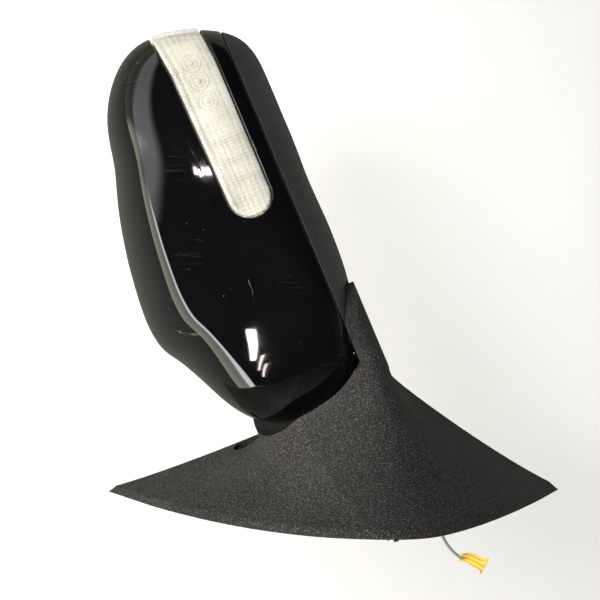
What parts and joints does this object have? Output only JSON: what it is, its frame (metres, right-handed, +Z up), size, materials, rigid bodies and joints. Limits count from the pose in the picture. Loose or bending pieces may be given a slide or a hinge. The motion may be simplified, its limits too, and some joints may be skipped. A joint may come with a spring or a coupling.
{
  "type": "car side mirror",
  "caption": "Power-folding door mirror with a sail-shaped foot, a gloss cover, a wrap-round side repeater and a glass that tilts two ways.",
  "frame": {"origin": "centre of the three mounting studs, on the door face of the foot", "axes": "+X outboard from the door, +Y to the rear of the car (the way the glass faces), +Z up; a left-hand door"},
  "size_m": [0.3059, 0.1425, 0.267],
  "materials": {
    "textured_black": "fine grained moulded plastic",
    "rubber": "soft foam rubber",
    "cast_alloy": "die-cast, dull",
    "zinc_steel": "zinc plated",
    "steel": "turned",
    "white_nylon": "moulded",
    "wire_grey": "smooth insulation",
    "yellow_tape": "cloth tape",
    "piano_black": "high gloss lacquer",
    "satin_black": "fine satin moulding",
    "dark_nylon": "glass-filled nylon",
    "motor_can": "drawn steel can",
    "clear_lens": "clear, ribbed inside",
    "silver_reflector": "metallised",
    "green_board": "solder mask",
    "clear_led": "clear dome",
    "brass": "turned",
    "heater_foil": "printed foil",
    "mirror": "silvered glass"
  },
  "bodies": {
    "base": {"base_cover": "textured_black", "sail_gasket": "rubber", "base_bracket": "cast_alloy", "mounting_studs": "zinc_steel", "bracket_screws": "zinc_steel", "fold_post": "steel", "drive_gear": "white_nylon", "detent_ring": "steel", "wire_loom": "wire_grey", "wire_terminal": "yellow_tape", "post_circlip": "steel"},
    "housing": {"scalp_cover": "piano_black", "lower_casing": "satin_black", "rear_bezel": "satin_black", "joint_cap": "satin_black", "inner_frame": "dark_nylon", "fold_gearcase": "dark_nylon", "fold_gearcase_lid": "dark_nylon", "fold_motor": "motor_can", "clutch_spring": "steel", "spring_washer": "steel", "detent_slider": "white_nylon", "signal_lens": "clear_lens", "signal_backing": "silver_reflector", "signal_board": "green_board", "signal_leds": "clear_led", "adjuster_case": "dark_nylon", "adjuster_motors": "motor_can", "adjuster_screws": "zinc_steel", "frame_screws": "zinc_steel", "gearcase_screws": "zinc_steel", "pivot_ball": "white_nylon"},
    "worm": {"fold_worm": "brass"},
    "up_jack": {"up_plunger": "white_nylon"},
    "side_jack": {"side_plunger": "white_nylon"},
    "ring": {"tilt_ring": "dark_nylon"},
    "glass": {"glass_holder": "dark_nylon", "heater_pad": "heater_foil", "mirror_glass": "mirror"}
  },
  "joints": [
    {"name": "fold", "type": "hinge", "parent": "base", "child": "housing", "pos_m": [0.0939, 0.012, 0.0037], "axis": [-0.3875, 0, 0.9219], "range_deg": [-20, 60]},
    {"name": "worm_spin", "type": "hinge", "parent": "housing", "child": "worm", "pos_m": [0.08549, -0.003, 0.0134], "axis": [0.9219, 0, 0.3875], "range_deg": [-500, 1500]},
    {"name": "glass_pitch", "type": "hinge", "parent": "housing", "child": "ring", "pos_m": [0.16321, 0.044, 0.07623], "axis": [0.9219, 0, 0.3875], "range_deg": [-7, 7]},
    {"name": "glass_yaw", "type": "hinge", "parent": "ring", "child": "glass", "pos_m": [0.16321, 0.044, 0.07623], "axis": [-0.3875, 0, 0.9219], "range_deg": [-7, 7]},
    {"name": "up_jack_slide", "type": "slide", "parent": "housing", "child": "up_jack", "axis": [0, 1, 0], "range_m": [-0.0024, 0.0024]},
    {"name": "side_jack_slide", "type": "slide", "parent": "housing", "child": "side_jack", "axis": [0, 1, 0], "range_m": [-0.0024, 0.0024]}
  ],
  "couplings": [
    {"joint": "worm_spin", "follows": "fold", "ratio": 24},
    {"joint": "up_jack_slide", "follows": "glass_pitch", "m_per_rad": -0.019},
    {"joint": "side_jack_slide", "follows": "glass_yaw", "m_per_rad": 0.019}
  ]
}
